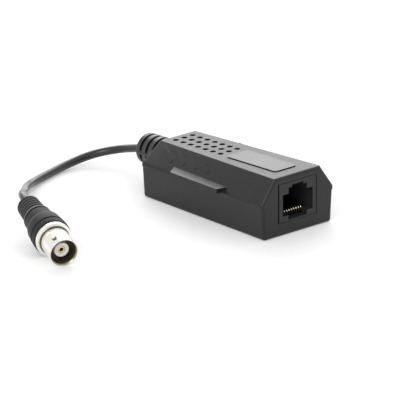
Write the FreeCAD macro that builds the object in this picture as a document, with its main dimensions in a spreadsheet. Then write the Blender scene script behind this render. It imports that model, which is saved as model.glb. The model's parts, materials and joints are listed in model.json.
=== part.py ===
import FreeCAD, Part
import math
import os
import re

import Sketcher
from FreeCAD import Placement, Rotation, Vector

# Adapter that carries network data over coaxial cable, in millimetres.
# The housing lies along X with the network jack at +X and the cable gland at -X.
# The origin is the middle of the flat base, and +Z points up. Its two shells hold a
# circuit board with the jack, and a short cable ends in a coaxial connector.

doc = FreeCAD.newDocument("coax_adapter")
sheet = doc.addObject("Spreadsheet::Sheet", "sizes")

SIZES = [
    # Housing outline, taken at its belt, its base and the two ends of its roof
    ("housing_length", 59.5),
    ("belt_width", 31.6),
    ("belt_height", 12.2),
    ("belt_round", 1.4),
    ("base_width", 29.4),
    ("roof_width_rear", 14.8),
    ("roof_width_front", 20.2),
    ("roof_rise", 2.2),
    ("seam_height", 10.9),
    ("seam_setback", 0.25),
    ("edge_round", 1.0),
    ("wall", 1.4),
    ("floor_wall", 1.8),
    ("fit_gap", 0.1),
    # Vent holes through the roof
    ("vent_width", 2.0),
    ("vent_pitch", 3.68),
    ("vent_margin", 3.85),
    # Blank label on the roof
    ("label_length", 24.0),
    ("label_width", 9.6),
    ("label_thickness", 0.3),
    ("label_margin", 5.65),
    ("label_round", 1.4),
    # Raised slashes on both chamfers
    ("slash_pitch", 5.9),
    ("slash_length", 8.9),
    ("slash_width", 1.1),
    ("slash_rise", 0.2),
    ("slash_margin", 7.75),
    ("slash_side", 10.7),
    ("slash_turn", 23.7),
    # Docking tab on one side, and the pocket under a lip on the other
    ("tab_margin", 13.75),
    ("tab_length", 27.2),
    ("tab_slant_rear", 3.6),
    ("tab_slant_front", 0.7),
    ("tab_reach", 2.4),
    ("tab_top", 13.8),
    ("tab_thickness", 1.5),
    ("pocket_margin", 23.35),
    ("pocket_length", 20.1),
    ("pocket_floor", 7.8),
    ("pocket_height", 2.4),
    ("pocket_depth", 0.8),
    ("lip_margin", 21.55),
    ("lip_length", 22.2),
    ("lip_height", 0.5),
    ("lip_reach", 0.5),
    # Cable gland in the rear wall
    ("gland_root", 11.4),
    ("gland_tip", 10.4),
    ("gland_reach", 14.8),
    ("gland_hole_gap", 0.25),
    ("gland_flange", 12.8),
    ("gland_flange_wall", 1.4),
    ("gland_roof_gap", 0.3),
    ("gland_neck", 0.8),
    ("gland_rib", 2.0),
    ("gland_groove", 1.0),
    ("gland_core", 8.2),
    ("gland_web", 1.3),
    ("saddle_wall", 1.2),
    ("flare_depth", 0.8),
    ("flare_width", 0.9),
    # Coaxial cable and its leads
    ("cable_width", 2.8),
    ("cable_bare", 0.5),
    ("core_width", 1.5),
    ("core_reach", 3.8),
    ("braid_width", 1.0),
    ("braid_aside", 2.6),
    ("braid_reach", 1.4),
    # Circuit board, its posts and the case screws
    ("board_lift", 1.05),
    ("board_wall", 1.6),
    ("board_margin", 8.25),
    ("board_side_gap", 0.9),
    ("board_end_gap", 0.3),
    ("post_width", 3.6),
    ("post_margin", 4.5),
    ("boss_width", 4.8),
    ("boss_margin", 5.15),
    ("boss_split", 7.0),
    ("boss_clearance", 0.4),
    ("screw_width", 2.0),
    ("screw_head_width", 3.8),
    ("screw_head_height", 1.4),
    ("screw_recess", 0.8),
    ("screw_slot", 0.6),
    ("screw_bite", 0.8),
    # Network jack
    ("jack_width", 16.2),
    ("jack_height", 13.3),
    ("jack_depth", 16.0),
    ("jack_inset", 0.15),
    ("jack_roof_gap", 0.45),
    ("jack_side_gap", 0.65),
    ("jack_window_gap", 0.4),
    ("mouth_width", 13.0),
    ("mouth_floor", 2.1),
    ("mouth_height", 7.35),
    ("mouth_depth", 13.2),
    ("step_width", 8.0),
    ("step_height", 2.0),
    ("latch_width", 5.0),
    ("latch_height", 0.8),
    ("comb_depth", 1.5),
    ("contact_pitch", 1.02),
    ("contact_width", 0.42),
    ("contact_bend", 0.3),
    ("contact_inset", 2.3),
    ("contact_step", 0.9),
    ("contact_rise", 4.0),
    ("contact_reach", 2.0),
    ("pin_hole", 0.9),
    ("pin_tail", 0.8),
    ("pin_row", 0.7),
    ("pin_row_pitch", 1.4),
    ("peg_width", 3.2),
    ("peg_spread", 5.7),
    # Parts on the circuit board
    ("transformer_gap", 2.2),
    ("transformer_length", 12.6),
    ("transformer_width", 9.4),
    ("transformer_height", 5.6),
    ("lead_pitch", 1.27),
    ("lead_width", 0.4),
    ("lead_reach", 1.5),
    ("lead_thickness", 0.3),
    ("chip_margin", 12.7),
    ("chip_aside", 4.6),
    ("chip_side", 7.0),
    ("chip_height", 1.2),
    ("chip_pitch", 0.8),
    ("chip_lead_width", 0.3),
    ("chip_lead_reach", 1.0),
    ("crystal_margin", 12.5),
    ("crystal_aside", 3.2),
    ("crystal_length", 9.0),
    ("crystal_width", 3.6),
    ("crystal_height", 3.4),
    ("inductor_margin", 12.1),
    ("inductor_aside", 8.9),
    ("inductor_side", 5.4),
    ("inductor_height", 3.0),
    ("capacitor_width", 5.0),
    ("capacitor_height", 7.0),
    ("capacitor_margin", 20.0),
    ("capacitor_pitch", 6.0),
    ("capacitor_aside", 9.4),
    ("surge_width", 4.6),
    ("surge_length", 6.0),
    ("surge_margin", 18.5),
    ("surge_aside", 9.2),
    ("choke_margin", 4.6),
    ("choke_aside", 5.0),
    ("choke_ring", 5.2),
    ("choke_thickness", 2.2),
    ("winding_width", 0.45),
    ("small_length", 2.0),
    ("small_width", 1.2),
    ("small_height", 0.6),
    ("small_margin", 18.3),
    ("small_pitch", 2.4),
    # Coaxial connector on the cable's end
    ("tail_length", 8.6),
    ("tail_start", 7.6),
    ("tail_end", 8.4),
    ("tail_rib", 0.9),
    ("tail_slit", 0.6),
    ("tail_groove", 0.5),
    ("collar_width", 9.3),
    ("collar_length", 1.5),
    ("collar_gap", 0.4),
    ("grip_length", 13.0),
    ("grip_start", 9.7),
    ("grip_waist", 10.5),
    ("grip_waist_length", 4.5),
    ("shoulder_width", 11.3),
    ("shoulder_length", 0.5),
    ("grip_end", 12.6),
    ("grip_ring", 12.7),
    ("grip_ring_length", 2.6),
    ("flange_width", 12.2),
    ("flange_length", 1.6),
    ("flange_round", 0.3),
    ("barrel_width", 9.65),
    ("barrel_bore", 8.2),
    ("barrel_length", 8.9),
    ("barrel_floor", 0.6),
    ("rim_round", 0.12),
    ("bore_flare", 0.45),
    ("lug_width", 1.8),
    ("lug_reach", 0.7),
    ("lug_setback", 3.2),
    ("lug_turn", 120.0),
    ("stub_width", 7.0),
    ("stub_length", 7.0),
    ("stub_wall", 1.2),
    ("insulator_width", 5.0),
    ("insulator_setback", 2.2),
    ("contact_pin_width", 2.2),
    ("contact_pin_bore", 1.35),
    ("contact_pin_depth", 5.0),
    ("contact_pin_setback", 0.2),
    ("ferrule_width", 5.4),
    ("connector_turn", 20.3),
]

for row, (alias, value) in enumerate(SIZES, start=1):
    sheet.set(f"A{row}", alias.replace("_", " "))
    sheet.set(f"B{row}", str(value))
    sheet.setAlias(f"B{row}", alias)
doc.recompute()

ALIASES = {alias for alias, value in SIZES}


def linked(text):
    """The expression with each size named as a cell of the sheet."""
    return re.sub(r"[a-z][a-z_]+", lambda word: cell(word.group()), str(text))


def cell(word):
    return f"sizes.{word}" if word in ALIASES else word


def number(text):
    """The value of an expression of the sheet's sizes."""
    return float(sheet.evalExpression(str(text)))


def bind(item, **settings):
    """Ties properties to expressions; a double underscore stands for a dot."""
    for name, text in settings.items():
        item.setExpression(name.replace("__", "."), linked(text))
    return item


def block(name, low, span):
    """A box from its low corner and its three spans."""
    item = doc.addObject("Part::Box", name)
    bind(item, Placement__Base__x=low[0], Placement__Base__y=low[1], Placement__Base__z=low[2])
    return bind(item, Length=span[0], Width=span[1], Height=span[2])


TURN_TO = {
    "X": Rotation(Vector(0, 0, 1), Vector(1, 0, 0)),
    "Y": Rotation(Vector(0, 0, 1), Vector(0, 1, 0)),
    "Z": Rotation(),
}


def rod(name, axis, width, length, start):
    """A cylinder of a given diameter along one axis."""
    item = doc.addObject("Part::Cylinder", name)
    item.Placement = Placement(Vector(), TURN_TO[axis])
    bind(item, Placement__Base__x=start[0], Placement__Base__y=start[1], Placement__Base__z=start[2])
    return bind(item, Radius=f"({width}) / 2", Height=length)


def cut(name, base, tools):
    item = doc.addObject("Part::Cut", name)
    item.Base = base
    item.Tool = fuse(name + "_tools", tools)
    return item


def fuse(name, pieces):
    if len(pieces) == 1:
        return pieces[0]
    item = doc.addObject("Part::MultiFuse", name)
    item.Shapes = pieces
    return item


def common(name, first, second):
    item = doc.addObject("Part::Common", name)
    item.Base = first
    item.Tool = second
    return item


def group(name, pieces):
    """Like pieces kept as separate solids under one name."""
    item = doc.addObject("Part::Compound", name)
    item.Links = pieces
    return item


def mirrored(name, item, across):
    """A copy on the other side of a plane through the origin."""
    copy = doc.addObject("Part::Mirroring", name)
    copy.Source = item
    copy.Normal = across
    return copy


def new_body(name):
    return doc.addObject("PartDesign::Body", name)


def origin_plane(body, role):
    return next(item for item in body.Origin.OriginFeatures if item.Role == role)


def outline(body, name, role, points, offset="0", rounds=None):
    """A closed sketch through points given as pairs of expressions.

    A corner named in rounds gets an arc of that radius, tangent to both its sides.
    """
    rounds = rounds or {}
    sketch = body.newObject("Sketcher::SketchObject", name)
    sketch.AttachmentSupport = (origin_plane(body, role), [""])
    sketch.MapMode = "FlatFace"
    bind(sketch, AttachmentOffset__Base__z=offset)
    corners = [Vector(number(across), number(up), 0) for across, up in points]
    count = len(corners)
    starts = list(corners)
    ends = list(corners)
    middles = {}
    for index, radius in rounds.items():
        back = (corners[index - 1] - corners[index]).normalize()
        ahead = (corners[(index + 1) % count] - corners[index]).normalize()
        half = back.getAngle(ahead) / 2
        reach = number(radius) / math.tan(half)
        centre = corners[index] + (back + ahead).normalize() * (number(radius) / math.sin(half))
        ends[index] = corners[index] + back * reach
        starts[index] = corners[index] + ahead * reach
        middles[index] = centre - (back + ahead).normalize() * number(radius)
    for index in range(count):
        side = Part.LineSegment(starts[index], ends[(index + 1) % count])
        sketch.addGeometry(side, False)
    for index in range(count):
        before = (index - 1) % count
        if index not in rounds:
            sketch.addConstraint(Sketcher.Constraint("Coincident", before, 2, index, 1))
            place_point(sketch, index, 1, points[index])
            continue
        arc = sketch.addGeometry(Part.Arc(ends[index], middles[index], starts[index]), False)
        apex = sketch.addGeometry(Part.Point(corners[index]), True)
        place_point(sketch, apex, 1, points[index])
        sketch.addConstraint(Sketcher.Constraint("PointOnObject", apex, 1, before))
        sketch.addConstraint(Sketcher.Constraint("PointOnObject", apex, 1, index))
        turns_left = sketch.Geometry[arc].StartPoint.distanceToPoint(ends[index]) < 1e-6
        sketch.addConstraint(Sketcher.Constraint("Tangent", before, 2, arc, 1 if turns_left else 2))
        sketch.addConstraint(Sketcher.Constraint("Tangent", index, 1, arc, 2 if turns_left else 1))
        value = number(rounds[index])
        datum = sketch.addConstraint(Sketcher.Constraint("Radius", arc, value))
        sketch.setExpression(f"Constraints[{datum}]", linked(rounds[index]))
    return sketch


def place_point(sketch, geometry, end, point):
    """Fixes a point by its two distances from the origin."""
    for kind, text in zip(("DistanceX", "DistanceY"), point):
        datum = sketch.addConstraint(Sketcher.Constraint(kind, -1, 1, geometry, end, number(text)))
        sketch.setExpression(f"Constraints[{datum}]", linked(text))


def padded(name, role, points, length, offset="0", rounds=None):
    """A body made by padding one outline along its plane's normal."""
    body = new_body(name)
    sketch = outline(body, name + "_outline", role, points, offset, rounds)
    pad = body.newObject("PartDesign::Pad", name + "_pad")
    pad.Profile = sketch
    bind(pad, Length=length)
    return body


def lofted(name, first, last, first_offset, last_offset, rounds=None):
    """A body lofted back from its front outline, along X.

    Started at the rear it comes out reversed, and its edges then take no fillet.
    """
    body = new_body(name)
    rear = outline(body, name + "_rear", "YZ_Plane", first, first_offset, rounds)
    front = outline(body, name + "_front", "YZ_Plane", last, last_offset, rounds)
    loft = body.newObject("PartDesign::AdditiveLoft", name + "_loft")
    loft.Profile = front
    loft.Sections = [rear]
    loft.Ruled = True
    return body


def turned(name, points):
    """A body revolved about X from an outline of lengths along it and radii."""
    body = new_body(name)
    sketch = outline(body, name + "_outline", "XZ_Plane", points)
    spin = body.newObject("PartDesign::Revolution", name + "_spin")
    spin.Profile = sketch
    spin.ReferenceAxis = (sketch, ["H_Axis"])
    spin.Angle = 360
    return body


def middle(edge):
    return edge.valueAt((edge.FirstParameter + edge.LastParameter) / 2)


def edges_where(shape, test):
    return [f"Edge{index}" for index, edge in enumerate(shape.Edges, start=1) if test(middle(edge))]


def rounded(body, name, radius, test):
    """Fillets the edges of the body's last feature whose middles pass a test."""
    doc.recompute()
    base = body.Tip
    fillet = body.newObject("PartDesign::Fillet", name)
    fillet.Base = (base, edges_where(base.Shape, test))
    bind(fillet, Radius=radius)
    return body


CLOSE = 0.01


def near(first, second):
    return abs(first - second) < CLOSE


# Counts of like pieces, how far a cutting body reaches past what it cuts, and how far an
# offset of 1 moves the chamfer's corners at the belt and the roof, so its wall stays even.
SLASHES = 4
VENT_ROWS = 3
VENT_COLUMNS = 7
GLAND_RINGS = 4
CONTACTS = 8
ROW_LEADS = 8
CHIP_PARTS = 3
CHOKE_TURNS = 7
TAIL_SLITS = 5
OVERRUN = 1
BELT_SHIFT = 0.45
ROOF_SHIFT = 0.55

# Places that several pieces share. The circuit board stands on its posts, the jack on the
# board sets the height of the sloping roof, and the gland fits under the roof's low end.
REAR = "-housing_length / 2"
FRONT = "housing_length / 2"
JACK_FRONT = f"{FRONT} - jack_inset"
JACK_REAR = f"{FRONT} - jack_inset - jack_depth"
ROOF_SLOPE = "roof_rise / housing_length"
BOARD_TOP = "floor_wall + board_lift + board_wall"
ROOF_FRONT = f"({BOARD_TOP} + jack_height + jack_roof_gap + wall + {ROOF_SLOPE} * (jack_inset + jack_depth))"
ROOF_REAR = f"({ROOF_FRONT} - roof_rise)"
ROOF_HEIGHT = {"rear": ROOF_REAR, "front": ROOF_FRONT}
BOARD_REAR = f"{REAR} + board_margin"
GLAND_HEIGHT = f"({ROOF_REAR} - wall - gland_roof_gap - gland_flange / 2)"
SCREW_TOP = "belt_height + screw_bite"
BOSS_X = "housing_length / 2 - boss_margin"
BOSS_Y = "jack_width / 2 + jack_window_gap + boss_width / 2"
POST_Y = "jack_width / 2 + jack_window_gap + post_width / 2"
BOSSES = [(f"{across}({BOSS_X})", f"{aside}({BOSS_Y})") for across in "+-" for aside in "+-"]
POSTS = [
    (f"{start} + post_margin", f"{aside}({POST_Y})")
    for start in (BOARD_REAR, JACK_REAR) for aside in "+-"
]

# Housing form: a long wedge with six sides. The belt is level, and the roof rises
# and widens towards the jack, so the chamfers are ruled surfaces with a slight twist.
SEAM_SIDE = "(belt_width - (belt_width - base_width) * (belt_height - seam_height) / belt_height) / 2"
BASE_SIDE = f"{SEAM_SIDE} - seam_setback"


def cover_section(end, outset="0", drop="0"):
    """The cover's section at one end, set out by an amount and reaching below the seam."""
    side = f"{SEAM_SIDE} + {outset}"
    return [
        (f"-({side})", f"seam_height - {drop}"),
        (side, f"seam_height - {drop}"),
        (f"belt_width / 2 + {outset}", f"belt_height + {BELT_SHIFT} * ({outset})"),
        (f"roof_width_{end} / 2 + {ROOF_SHIFT} * ({outset})", f"{ROOF_HEIGHT[end]} + {outset}"),
        (f"-roof_width_{end} / 2 - {ROOF_SHIFT} * ({outset})", f"{ROOF_HEIGHT[end]} + {outset}"),
        (f"-belt_width / 2 - {outset}", f"belt_height + {BELT_SHIFT} * ({outset})"),
    ]


def cover_loft(name, outset, drop, setback, rounds=None):
    return lofted(
        name, cover_section("rear", outset, drop), cover_section("front", outset, drop),
        f"{REAR} + {setback}", f"{FRONT} - {setback}", rounds,
    )


BELT_CORNERS = (2, 5)
cover_form = cover_loft("cover_form", "0", "0", "0", {corner: "belt_round" for corner in BELT_CORNERS})
end_plane = number(FRONT)
seam = number("seam_height")
rounded(
    cover_form, "cover_end_rounds", "edge_round",
    lambda spot: near(abs(spot.x), end_plane) and spot.z > seam + CLOSE,
)
cover_cavity = cover_loft("cover_cavity", "(-wall)", OVERRUN, "wall")
cover_core = cover_loft("cover_core", "(-wall / 2)", "0", "wall / 2")

# Base form: a straight tub whose sides lean out to the seam and stand back a little
# from the cover, which leaves the shadow line under the belt.
base_form = padded(
    "base_form", "YZ_Plane",
    [
        ("-base_width / 2", "0"), ("base_width / 2", "0"),
        (BASE_SIDE, "seam_height"), (f"-({BASE_SIDE})", "seam_height"),
    ],
    "housing_length", REAR,
)
rounded(
    base_form, "base_rounds", "edge_round",
    lambda spot: spot.z < seam - CLOSE,
)
base_cavity = padded(
    "base_cavity", "YZ_Plane",
    [
        ("-base_width / 2 + wall", "floor_wall"), ("base_width / 2 - wall", "floor_wall"),
        (f"{BASE_SIDE} - wall", f"seam_height + {OVERRUN}"),
        (f"-({BASE_SIDE} - wall)", f"seam_height + {OVERRUN}"),
    ],
    "housing_length - 2 * wall", f"{REAR} + wall",
)


# Openings through both shells: the gland's hole, and the jack's window. The window's sill
# is level with the circuit board, and its gap on one side is wider than on the other.
def gland_hole(name):
    return rod(
        name, "X", "gland_root + 2 * gland_hole_gap", f"wall + 2 * {OVERRUN}",
        (f"{REAR} - {OVERRUN}", "0", GLAND_HEIGHT),
    )


def jack_window(name):
    return block(
        name,
        (f"{FRONT} - wall - {OVERRUN}", "-jack_width / 2 - jack_side_gap", BOARD_TOP),
        (
            f"wall + 2 * {OVERRUN}", "jack_width + jack_side_gap + fit_gap",
            "jack_height + jack_roof_gap / 2",
        ),
    )


# Top cover: moulded roof, chamfers and belt. It carries the vents, the raised slashes,
# the docking tab, the screw bosses and the pins that hold the circuit board down.
slash_bars = []
for index in range(SLASHES):
    bar = block(
        f"slash_bar_{index}", ("0", "0", "0"),
        ("slash_length", "slash_width", f"{ROOF_FRONT} + {OVERRUN}"),
    )
    bar.Placement = Placement(Vector(), Rotation(Vector(0, 0, 1), number("slash_turn")))
    along = f"{REAR} + slash_margin + {index} * slash_pitch"
    bind(
        bar,
        Placement__Base__x=(
            f"{along} - slash_length / 2 * cos(slash_turn) + slash_width / 2 * sin(slash_turn)"
        ),
        Placement__Base__y=(
            "slash_side - slash_length / 2 * sin(slash_turn) - slash_width / 2 * cos(slash_turn)"
        ),
    )
    slash_bars.append(bar)


def chamfer_strip(end):
    """A thin strip of one chamfer's section, from under its skin to the slashes' rise."""
    return [
        ("belt_width / 2", "belt_height - wall / 2"),
        ("belt_width / 2", "belt_height + slash_rise"),
        (f"roof_width_{end} / 2", f"{ROOF_HEIGHT[end]} + slash_rise"),
        (f"roof_width_{end} / 2", f"{ROOF_HEIGHT[end]} - wall / 2"),
    ]


slash_skin = lofted("slash_skin", chamfer_strip("rear"), chamfer_strip("front"), REAR, FRONT)
slashes = common("slashes", slash_skin, fuse("slash_row", slash_bars))
slashes_mirrored = mirrored("slashes_mirrored", slashes, Vector(0, 1, 0))

docking_tab = padded(
    "docking_tab", "XY_Plane",
    [
        (f"{REAR} + tab_margin", "-belt_width / 2 + 2 * wall"),
        (f"{REAR} + tab_margin + tab_length", "-belt_width / 2 + 2 * wall"),
        (f"{REAR} + tab_margin + tab_length - tab_slant_front", "-belt_width / 2 - tab_reach"),
        (f"{REAR} + tab_margin + tab_slant_rear", "-belt_width / 2 - tab_reach"),
    ],
    "tab_thickness", "tab_top - tab_thickness",
)
cover_solid = fuse("cover_solid", [cover_form, slashes, slashes_mirrored, docking_tab])

vents = []
for column in range(VENT_COLUMNS):
    for line in range(VENT_ROWS):
        vents.append(rod(
            f"vent_{column}_{line}", "Z", "vent_width", ROOF_FRONT,
            (
                f"{REAR} + vent_margin + {column} * vent_pitch",
                f"({line} - ({VENT_ROWS} - 1) / 2) * vent_pitch", "seam_height",
            ),
        ))
cover_skin = cut("cover_skin", cover_solid, [
    cover_cavity, fuse("vent_field", vents), gland_hole("cover_gland_hole"), jack_window("cover_jack_window"),
])

cover_columns = [
    rod(f"cover_boss_{index}", "Z", "boss_width", ROOF_FRONT, (across, aside, "boss_split"))
    for index, (across, aside) in enumerate(BOSSES)
]
cover_columns += [
    rod(f"cover_pin_{index}", "Z", "post_width", ROOF_FRONT, (across, aside, f"{BOARD_TOP} + fit_gap"))
    for index, (across, aside) in enumerate(POSTS)
]
SADDLE_START = f"{REAR} + wall + gland_flange_wall + 2 * fit_gap"
cover_columns.append(block(
    "cover_saddle", (SADDLE_START, "-gland_flange / 2", f"{GLAND_HEIGHT} + fit_gap"),
    ("saddle_wall", "gland_flange", ROOF_FRONT),
))
cover_below = block(
    "cover_below",
    (f"{REAR} + wall", "-base_width / 2 + wall", "0"),
    ("housing_length - 2 * wall", "base_width - 2 * wall", "seam_height + wall"),
)
cover_inside = common(
    "cover_inside", fuse("cover_reach", [cover_core, cover_below]), fuse("cover_columns", cover_columns),
)
pilot_holes = [
    rod(f"pilot_hole_{index}", "Z", "screw_width", f"{SCREW_TOP} + {OVERRUN} / 2", (across, aside, "0"))
    for index, (across, aside) in enumerate(BOSSES)
]
cover_cable_slot = block(
    "cover_cable_slot",
    (f"{SADDLE_START} - {OVERRUN}", "-cable_width / 2 - fit_gap", "0"),
    (
        f"saddle_wall + 2 * {OVERRUN}", "cable_width + 2 * fit_gap",
        f"{GLAND_HEIGHT} + cable_width / 2 + fit_gap",
    ),
)
top_cover = cut(
    "top_cover", fuse("cover_filled", [cover_skin, cover_inside]), pilot_holes + [cover_cable_slot],
)

# Base shell: moulded tub with the board's posts, the screw columns, the saddle behind
# the gland, and the docking pocket under its lip.
POST_START = "floor_wall / 2"
base_columns = [
    rod(f"base_boss_{index}", "Z", "boss_width", f"boss_split - {POST_START}", (across, aside, POST_START))
    for index, (across, aside) in enumerate(BOSSES)
]
base_columns += [
    rod(f"base_post_{index}", "Z", "post_width", f"{BOARD_TOP} - board_wall - {POST_START}",
        (across, aside, POST_START))
    for index, (across, aside) in enumerate(POSTS)
]
base_saddle = block(
    "base_saddle", (SADDLE_START, "-gland_flange / 2", POST_START),
    ("saddle_wall", "gland_flange", f"{GLAND_HEIGHT} - fit_gap - {POST_START}"),
)
base_cable_slot = block(
    "base_cable_slot",
    (
        f"{SADDLE_START} - {OVERRUN}", "-cable_width / 2 - fit_gap",
        f"{GLAND_HEIGHT} - cable_width / 2 - fit_gap",
    ),
    (f"saddle_wall + 2 * {OVERRUN}", "cable_width + 2 * fit_gap", "cable_width"),
)
pocket_lip = block(
    "pocket_lip",
    (f"{REAR} + lip_margin", f"{BASE_SIDE} - wall / 2", "pocket_floor + pocket_height"),
    ("lip_length", "wall / 2 + lip_reach", "lip_height"),
)
docking_pocket = block(
    "docking_pocket",
    (f"{REAR} + pocket_margin", f"{BASE_SIDE} - pocket_depth", "pocket_floor"),
    ("pocket_length", f"pocket_depth + 2 * {OVERRUN}", "pocket_height"),
)
screw_tunnels = []
for index, (across, aside) in enumerate(BOSSES):
    screw_tunnels.append(rod(
        f"screw_tunnel_{index}", "Z", "screw_width + boss_clearance", f"boss_split + 2 * {OVERRUN}",
        (across, aside, f"-{OVERRUN}"),
    ))
    screw_tunnels.append(rod(
        f"screw_seat_{index}", "Z", "screw_head_width + boss_clearance",
        f"screw_recess + screw_head_height + {OVERRUN}", (across, aside, f"-{OVERRUN}"),
    ))
base_tub = cut("base_tub", fuse("base_blank", [base_form, pocket_lip]), [base_cavity, docking_pocket])
base_shell = cut("base_shell", fuse("base_filled", [base_tub, base_saddle] + base_columns), screw_tunnels + [
    gland_hole("base_gland_hole"), jack_window("base_jack_window"), base_cable_slot,
])

# Case screws: slotted screws driven up from under the base into the cover's bosses.
screws = []
for index, (across, aside) in enumerate(BOSSES):
    head = rod(
        f"screw_head_{index}", "Z", "screw_head_width", "screw_head_height",
        (across, aside, "screw_recess"),
    )
    shank = rod(
        f"screw_shank_{index}", "Z", "screw_width", f"{SCREW_TOP} - screw_recess - screw_head_height",
        (across, aside, "screw_recess + screw_head_height"),
    )
    slot = block(
        f"screw_slot_{index}",
        (f"{across} - screw_head_width / 2", f"{aside} - screw_slot / 2", "0"),
        ("screw_head_width", "screw_slot", "screw_recess + screw_head_height / 2"),
    )
    screws.append(cut(f"case_screw_{index}", fuse(f"screw_blank_{index}", [head, shank]), [slot]))
case_screws = group("case_screws", screws)

# Blank label: a thin plate with rounded corners, glued flat on the sloping roof.
label_plate = padded(
    "label_plate", "XY_Plane",
    [
        ("-label_length / 2", "-label_width / 2"), ("label_length / 2", "-label_width / 2"),
        ("label_length / 2", "label_width / 2"), ("-label_length / 2", "label_width / 2"),
    ],
    "label_thickness", "0", {corner: "label_round" for corner in range(4)},
)
roof_tilt = math.degrees(math.atan(number(ROOF_SLOPE)))
label_plate.Placement = Placement(Vector(), Rotation(Vector(0, 1, 0), -roof_tilt))
bind(
    label_plate,
    Placement__Base__x=f"{FRONT} - label_margin - label_length / 2",
    Placement__Base__z=f"{ROOF_FRONT} - {ROOF_SLOPE} * (label_margin + label_length / 2)",
)

# Cable gland: moulded rubber strain relief, drawn along X from the wall's inner face.
# Its flange sits behind the wall, and outside it is a taper cut by rings that stop at a
# web on each side, so that it bends up and down.
FLANGE_START = "-gland_flange_wall - fit_gap"
GLAND_TIP = "wall + gland_reach"
gland_form = turned("gland_form", [
    (FLANGE_START, "cable_width / 2"), (f"{GLAND_TIP} - flare_depth", "cable_width / 2"),
    (GLAND_TIP, "cable_width / 2 + flare_width"), (GLAND_TIP, "gland_tip / 2 - edge_round / 2"),
    (f"{GLAND_TIP} - edge_round / 2", "gland_tip / 2"), ("wall + gland_neck", "gland_root / 2"),
    ("wall + gland_neck", "gland_core / 2 + gland_groove / 2"), ("wall", "gland_core / 2 + gland_groove / 2"),
    ("wall", "gland_root / 2"), ("-fit_gap", "gland_root / 2"),
    ("-fit_gap", "gland_flange / 2"), (FLANGE_START, "gland_flange / 2"),
])
gland_rings = []
for index in range(GLAND_RINGS):
    start = f"wall + gland_neck + gland_rib + {index} * (gland_rib + gland_groove)"
    outer = rod(f"ring_outer_{index}", "X", "gland_flange", "gland_groove", (start, "0", "0"))
    inner = rod(f"ring_inner_{index}", "X", "gland_core", "gland_groove", (start, "0", "0"))
    web = block(f"ring_web_{index}", (start, "-gland_flange", "-gland_web / 2"),
                ("gland_groove", "2 * gland_flange", "gland_web"))
    gland_rings.append(cut(f"gland_ring_{index}", outer, [inner, web]))
strain_relief = cut("strain_relief", gland_form, gland_rings)
strain_relief.Placement = Placement(Vector(), Rotation(Vector(0, 0, 1), 180))
bind(strain_relief, Placement__Base__x=f"{REAR} + wall", Placement__Base__z=GLAND_HEIGHT)

# Network jack: moulded block on the board, with a stepped mouth for the plug, its latch
# upwards, and two pegs into the board.
MOUTH_FLOOR = f"{BOARD_TOP} + mouth_floor"
MOUTH_ROOF = f"{BOARD_TOP} + mouth_floor + mouth_height"
jack_block = block(
    "jack_block", (JACK_REAR, "-jack_width / 2", BOARD_TOP),
    ("jack_depth", "jack_width", "jack_height"),
)
right_mouth = [
    ("step_width / 2", f"{MOUTH_FLOOR} - comb_depth"),
    ("step_width / 2", MOUTH_FLOOR),
    ("mouth_width / 2", MOUTH_FLOOR),
    ("mouth_width / 2", MOUTH_ROOF),
    ("step_width / 2", MOUTH_ROOF),
    ("step_width / 2", f"{MOUTH_ROOF} + step_height"),
    ("latch_width / 2", f"{MOUTH_ROOF} + step_height"),
    ("latch_width / 2", f"{MOUTH_ROOF} + step_height + latch_height"),
]
left_mouth = [(f"-{across}", up) for across, up in reversed(right_mouth)]
jack_mouth = padded(
    "jack_mouth", "YZ_Plane", right_mouth + left_mouth, f"mouth_depth + {OVERRUN}",
    f"{JACK_FRONT} - mouth_depth",
)
carrier_pocket = block(
    "carrier_pocket",
    (f"{JACK_REAR} - {OVERRUN}", "-mouth_width / 2", f"{BOARD_TOP} - {OVERRUN}"),
    (
        f"jack_depth - mouth_depth + {OVERRUN}", "mouth_width",
        f"mouth_floor + mouth_height + {OVERRUN}",
    ),
)
PEG_X = f"{JACK_FRONT} - mouth_depth / 2"
pegs = [
    rod(f"jack_peg_{index}", "Z", "peg_width", "board_wall + mouth_floor / 2",
        (PEG_X, f"{sign}peg_spread", f"{BOARD_TOP} - board_wall"))
    for index, sign in enumerate("+-")
]
jack_housing = fuse("jack_housing", [cut("jack_shell", jack_block, [jack_mouth, carrier_pocket])] + pegs)


def shaped(name, shape):
    item = doc.addObject("Part::Feature", name)
    item.Shape = shape
    return item


def bend_at(before, corner, after, reach):
    """Where an arc tangent to two straight runs leaves the first and joins the second."""
    back = (before - corner).normalize()
    ahead = (after - corner).normalize()
    half = back.getAngle(ahead) / 2
    radius = reach * math.tan(half)
    centre = corner + (back + ahead).normalize() * (radius / math.cos(math.pi / 2 - half))
    nearest = centre - (back + ahead).normalize() * radius
    return corner + back * reach, nearest, corner + ahead * reach, radius


def wire_path(points, bend):
    """Straight runs joined by tangent arcs of one bend radius."""
    parts = []
    start = points[0]
    for before, corner, after in zip(points, points[1:], points[2:]):
        half = (before - corner).getAngle(after - corner) / 2
        leave, nearest, join, radius = bend_at(before, corner, after, bend / math.tan(half))
        parts.append(Part.LineSegment(start, leave).toShape())
        parts.append(Part.Arc(leave, nearest, join).toShape())
        start = join
    parts.append(Part.LineSegment(start, points[-1]).toShape())
    return Part.Wire(parts)


def tube(path, width):
    """A solid round section carried along a path."""
    first = path.Edges[0]
    heading = first.tangentAt(first.FirstParameter)
    ring = Part.Circle(first.valueAt(first.FirstParameter), heading, width / 2)
    return path.makePipeShell([Part.Wire(ring.toShape())], True, False)


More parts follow.
